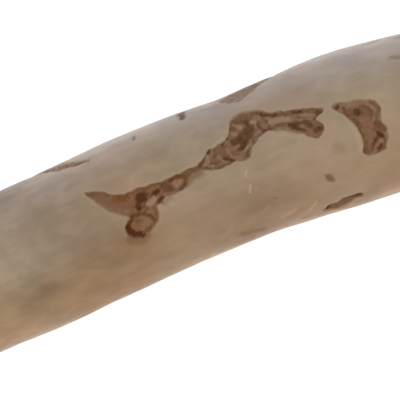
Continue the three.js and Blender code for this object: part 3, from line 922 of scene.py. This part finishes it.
wood = blended(eased(clouds(11, shift=40), 0.5, 0.72, 0, 0.6), wood, PINKISH)
# Far side: partly its own greyer colour, partly painted cool reflection
far_side = product(eased(side, 5, 19), eased(level, -6, 8, 0.25, 1))
wood = blended(product(far_side, product(thick_end, 0.6)), wood, PINKISH)
wood = blended(product(far_side, sum_of(1.0, thick_end, -0.45)), wood, GREY)
# Near side: partly its own warmer colour, partly painted warm light and shade
near_side = eased(level, -6, 8, 0.4, 1)
wood = blended(product(near_side, eased(side, 0, -9, 0, 0.75)), wood, blended(thick_end, ROSY, AMBER))
wood = blended(product(near_side, eased(side, -12, -16, 0, 0.7)), wood, BROWNISH)
# Painted rim highlight along the sides at middle height
painted_rim_light = product(eased(level, 8.5, 3.5, 0, 0.5), eased(level, -14, -4))
wood = blended(product(painted_rim_light, sum_of(1.0, thick_end, -0.7)), wood, PALE_WEAR_AND_HIGHLIGHT)

# Grain: soft mottles, streaks along the branch, and fine pores drawn out the same way. Each scale
# laid over the wood leaves it as it is at 0.5, darkens it below and lightens it above.
MOTTLE_SCALE = [(0, (0.445, 0.450, 0.450)), (1, (0.555, 0.550, 0.555))]
STREAK_SCALE = [(0, (0.482, 0.481, 0.479)), (1, (0.518, 0.518, 0.519))]
PORE_BROWN = (0.17, 0.11, 0.065, 1)
mottles = eased(clouds(3.4, detail=2, stretch=(0.6, 1, 1), shift=130), 0.3, 0.7)
mottled = sum_of(0.5, thick_end, 0.4)
wood = blended(mottled, wood, ramp(mottles, MOTTLE_SCALE), "OVERLAY")
streaks = eased(clouds(1.7, detail=3, stretch=(0.05, 1, 1), roughness=0.6), 0.3, 0.7)
wood = blended(0.5, wood, ramp(streaks, STREAK_SCALE), "OVERLAY")
pores = clouds(0.35, detail=1, stretch=(0.12, 1, 1), shift=7)
wood = blended(eased(pores, 0.64, 0.74, 0, 0.16), wood, PORE_BROWN)

# The broad patches, from dulled to bleached, some of them painted rim highlight, and from bluer to
# yellower
SHADE_SCALE = [(0, (0.36, 0.34, 0.33)), (0.5, (0.5, 0.5, 0.5)), (1, (0.62, 0.63, 0.65))]
YELLOW_SCALE = [(0, (0.5, 0.53, 0.58)), (1, (0.5, 0.465, 0.425))]
shades = ramp(sum_of(0.5, kept("wood shade"), 0.5), SHADE_SCALE)
wood = blended(1.0, wood, shades, "OVERLAY")
yellows = ramp(sum_of(0.5, kept("yellowing"), 0.5), YELLOW_SCALE)
wood = blended(1.0, wood, yellows, "OVERLAY")

# Around the bark the wood is stained, and right beside it painted a little paler, a highlight on the
# rim of its pocket. Its smudges are stained too, darkest as pin knots, and its scratches and rubbed
# places are pale, as are its strokes of painted highlight.
RIM_PALE = (0.52, 0.40, 0.29, 1)
STAIN_BROWN = (0.190, 0.080, 0.028, 1)
KNOT_BROWN = (0.085, 0.042, 0.018, 1)
edge = sum_of(kept("bark"), sum_of(clouds(0.8, detail=3, roughness=0.6), -0.5), 0.55)
wood = blended(eased(edge, -3.2, -0.4, 0, 0.28), wood, AMBER)
# Painted highlight on the rim of each bark pocket
rim = product(eased(edge, -1.1, -0.35), eased(edge, 0.2, -0.2))
wood = blended(product(rim, 0.1), wood, RIM_PALE)
wood_mark = kept("wood tone")
wood = blended(eased(wood_mark, -0.05, -0.55, 0, 0.6), wood, STAIN_BROWN)
wood = blended(eased(wood_mark, -0.5, -1.0, 0, 0.85), wood, KNOT_BROWN)
wood = blended(eased(wood_mark, 0.05, 1.0, 0, 0.8), wood, PALE_WEAR_AND_HIGHLIGHT)

# The bark, from the dark of its cracks to the pale of its ridges, with fine layers drawn out along
# it where it fills a crease. Where it is thin its edge is softer, and the wood shows through.
BARK_SCALE = [
    (0.0, (0.088, 0.029, 0.004)),
    (0.25, (0.176, 0.083, 0.034)),
    (0.5, (0.241, 0.129, 0.065)),
    (0.75, (0.305, 0.180, 0.103)),
    (1.0, (0.400, 0.257, 0.162)),
]
INNER_RED = (1.03, 0.74, 0.48, 1)
grit = sum_of(clouds(0.9, detail=5, shift=21, roughness=0.65), -0.5)
tone = sum_of(kept("bark tone"), grit, 1.3)
# A dark line right at the bark's edge: partly its own colour, partly painted shade at the foot of its
# pocket's step
tone = sum_of(tone, eased(edge, 0.0, 0.45, -0.12, 0.0))
bent = clouds(4, detail=2, stretch=(0.4, 1, 1), shift=210)
layers = sine_of(sum_of(product(kept("bark"), 6.5), bent, 11))
tone = sum_of(tone, product(layers, kept("filled")), 0.24)
on_scale = node("MapRange", {"Value": tone, "From Min": -1, "From Max": 1}).outputs[0]
bark_colour = blended(kept("redness"), ramp(on_scale, BARK_SCALE), INNER_RED, "MULTIPLY")
thin = kept("thinness")
fades = sum_of(0.25, thin, 0.35)
patchy = eased(clouds(1.5, detail=3, shift=80), 0.35, 0.65, 0.6, 1.3)
worn = product(eased(thin, 0.5, 1.0, 0, 0.5), patchy)
is_bark = product(eased(edge, product(fades, -1), fades), sum_of(1.0, worn, -1))
colour = blended(is_bark, wood, bark_colour)

# The sawn ends: faint uneven rings about the pith, rays out from it, a darker heart, and pores
END_GRAIN_SCALE = [(0, (0.275, 0.185, 0.105)), (1, (0.365, 0.262, 0.160))]
HEART_BROWN = (0.235, 0.145, 0.078, 1)
PITH_BROWN = (0.10, 0.055, 0.03, 1)
END_PORE_BROWN = (0.15, 0.09, 0.05, 1)
end_place = node("CombineXYZ", {1: grown_place.outputs[1], 2: grown_place.outputs[2]}).outputs[0]
from_pith = node("VectorMath", {0: end_place}, operation="LENGTH").outputs["Value"]
heading = node("VectorMath", {0: end_place}, operation="NORMALIZE").outputs["Vector"]
uneven = sum_of(from_pith, clouds(8, shift=300), 3.5)
in_rings = {"W": uneven, "Scale": 0.85, "Detail": 2, "Roughness": 0.6}
rings = node("TexNoise", in_rings, noise_dimensions="1D").outputs["Fac"]
in_rays = {"Vector": heading, "Scale": 26, "Detail": 3, "Roughness": 0.7}
rays = node("TexNoise", in_rays).outputs["Fac"]
end_grain = ramp(sum_of(eased(rings, 0.3, 0.7, 0, 0.75), rays, 0.25), END_GRAIN_SCALE)
heart = eased(sum_of(from_pith, clouds(9, shift=310), 6), 12, 5, 0, 0.4)
end_grain = blended(heart, end_grain, HEART_BROWN)
end_grain = blended(eased(from_pith, 1.4, 0.6, 0, 0.85), end_grain, PITH_BROWN)
end_pores = eased(clouds(0.4, detail=2, shift=55), 0.58, 0.72, 0, 0.45)
end_grain = blended(end_pores, end_grain, END_PORE_BROWN)
is_sawn = kept("sawn")
colour = blended(is_sawn, colour, end_grain)
links.new(colour, surface.inputs["Base Color"])

# Satin on the sanded wood, dull on the bark and the sawn ends
rough = eased(clouds(2.2, detail=3, shift=70), 0.3, 0.7, 0.40, 0.52)
rough = sum_of(rough, product(is_bark, 0.3))
rough = sum_of(rough, product(is_sawn, 0.25))
links.new(rough, surface.inputs["Roughness"])
surface.inputs["IOR"].default_value = 1.5
surface.inputs["Specular IOR Level"].default_value = 0.25

# Fine relief: grain and pores on the wood, crumbly layers on the bark, ridges of the saw on the ends
GRAIN_RELIEF = 0.02
CRUMB_RELIEF = 0.22
SAWN_RELIEF = 0.018
grain = product(sum_of(streaks, pores, 0.7), GRAIN_RELIEF)
crumbs = product(clouds(0.55, detail=4, shift=33, roughness=0.65), product(is_bark, CRUMB_RELIEF))
saw_ridges = sine_of(product(sum_of(grown_place.outputs[1], grown_place.outputs[2], 0.25), 5.5))
saw_fuzz = clouds(0.3, detail=2, stretch=(1, 0.2, 1), shift=62)
saw_marks = product(sum_of(saw_ridges, saw_fuzz, 1.5), SAWN_RELIEF)
height = product(sum_of(sum_of(grain, crumbs), saw_marks, is_sawn), MM)
relief = node("Bump", {"Height": height, "Strength": 1.0, "Distance": 1.0})
links.new(relief.outputs[0], surface.inputs["Normal"])

mesh.materials.append(finish)
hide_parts("chew_stick")
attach(stick, "root")


# The floor and the light: a white sheet lit from under as well, a wide soft lamp overhead, and a
# pale room whose light is cooler past the far side and warmer past the near one. Its walls look white.
SHEET_SIZE = 6
SHEET_GREY = (0.4, 0.4, 0.4, 1)
SHEET_GLOW = 0.82
bpy.ops.mesh.primitive_plane_add(size=SHEET_SIZE, location=(0, 0, 0))
floor = bpy.context.object
floor.name = "floor"
sheet = bpy.data.materials.new("white sheet")
sheet.use_nodes = True
paper = sheet.node_tree.nodes["Principled BSDF"]
paper.inputs["Base Color"].default_value = SHEET_GREY
paper.inputs["Roughness"].default_value = 0.9
paper.inputs["Specular IOR Level"].default_value = 0.1
paper.inputs["Emission Color"].default_value = (1, 1, 1, 1)
paper.inputs["Emission Strength"].default_value = SHEET_GLOW
floor.data.materials.append(sheet)

WARM = (1.2, 0.93, 0.62, 1)
COOL = (0.8, 1.02, 1.42, 1)
ROOM_LIGHT = 0.5
WALL_WHITE = (0.92, 0.92, 0.92, 1)
world = bpy.data.worlds.new("studio")
bpy.context.scene.world = world
world.use_nodes = True
room = world.node_tree
toward = node("TexCoord", tree=room).outputs["Generated"]
northward = node("SeparateXYZ", {0: toward}, room).outputs[1]
to_far_side = node("MapRange", {"Value": northward, "From Min": -1, "From Max": 1}, room).outputs[0]
tint = node("ValToRGB", {"Fac": to_far_side}, room)
tint.color_ramp.elements[0].color = WARM
tint.color_ramp.elements[1].color = COOL
glow = room.nodes["Background"]
glow.inputs["Strength"].default_value = ROOM_LIGHT
room.links.new(tint.outputs["Color"], glow.inputs["Color"])
walls = node("Background", {"Color": WALL_WHITE}, room)
to_camera = node("LightPath", tree=room).outputs["Is Camera Ray"]
seen = node("MixShader", {0: to_camera, 1: glow.outputs[0], 2: walls.outputs[0]}, room)
room.links.new(seen.outputs[0], room.nodes["World Output"].inputs[0])

LAMP_WIDTH = 1.1
LAMP_POWER = 5.8
LAMP_AT = (0, 0.15, 1.15)
lamp = bpy.data.lights.new("overhead", "AREA")
lamp.size = LAMP_WIDTH
lamp.energy = LAMP_POWER
overhead = bpy.data.objects.new("overhead", lamp)
overhead.location = LAMP_AT
bpy.context.scene.collection.objects.link(overhead)


# The camera looks straight down from 0.9 m over the stick's middle line, turned so that the stick
# runs up to the right. One pixel of the 400 x 400 picture covers 0.24 mm there, and the middle of the
# stick comes at MIDDLE_AT.
SENSOR = 36
PIXEL = 0.00024
DISTANCE = 0.9
PICTURE = 400
MIDDLE_AT = (200, 183.8)
MIDDLE_HEIGHT = 0.0196
MIDDLE_LINE = (0, (sideways(0) - middle[1]) * MM, MIDDLE_HEIGHT)
TILT = np.radians(20.7)
camera_data = bpy.data.cameras.new("camera")
camera_data.sensor_width = SENSOR
camera_data.lens = SENSOR * DISTANCE / (PICTURE * PIXEL)
camera = bpy.data.objects.new("camera", camera_data)
right = np.array([np.cos(TILT), -np.sin(TILT), 0])
up = np.array([np.sin(TILT), np.cos(TILT), 0])
shift_right = (PICTURE / 2 - MIDDLE_AT[0]) * PIXEL
shift_down = (PICTURE / 2 - MIDDLE_AT[1]) * PIXEL
camera.location = np.array(MIDDLE_LINE) + shift_right * right - shift_down * up + [0, 0, DISTANCE]
camera.rotation_euler = (0, 0, -TILT)
bpy.context.scene.collection.objects.link(camera)
bpy.context.scene.camera = camera
bpy.context.scene.view_settings.view_transform = "Standard"
